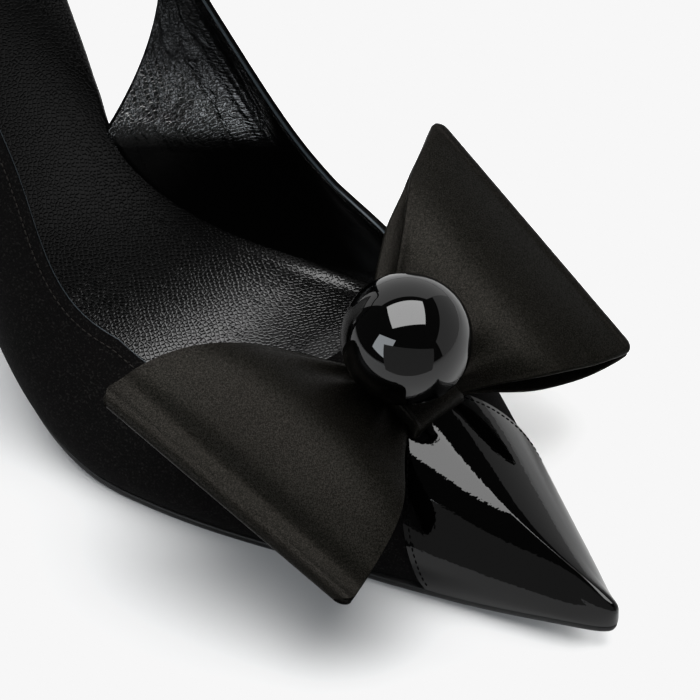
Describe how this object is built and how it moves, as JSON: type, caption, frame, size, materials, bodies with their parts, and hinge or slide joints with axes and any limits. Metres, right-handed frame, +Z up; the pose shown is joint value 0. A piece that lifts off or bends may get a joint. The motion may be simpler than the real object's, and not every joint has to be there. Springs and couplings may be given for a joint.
{
  "type": "slingback court shoe",
  "caption": "Right-foot pointed slingback court shoe with a slim high heel, suede upper, patent toe cap, satin ribbon bow and round bead; stands on its sole and heel.",
  "frame": {"origin": "on the floor, under the middle of the shoe's box", "axes": "+X to the toe's tip, +Y to the inner (medial) side of the foot, +Z up from the floor"},
  "size_m": [0.2258, 0.0972, 0.1305],
  "materials": {
    "suede": "matt napped suede",
    "patent": "mirror-gloss patent",
    "grained_leather": "fine grain, soft sheen",
    "sole_leather": "smooth dyed edge",
    "satin": "satin weave with a soft sheen",
    "bead": "polished",
    "top_piece": "matt"
  },
  "bodies": {
    "root": {"upper": "suede", "toe_cap": "patent", "sling_strap": "suede", "insole": "grained_leather", "outsole": "sole_leather", "heel": "suede", "heel_tip": "top_piece", "bow_loop_lateral": "satin", "bow_loop_medial": "satin", "bow_knot": "satin", "bead": "bead"}
  },
  "joints": []
}
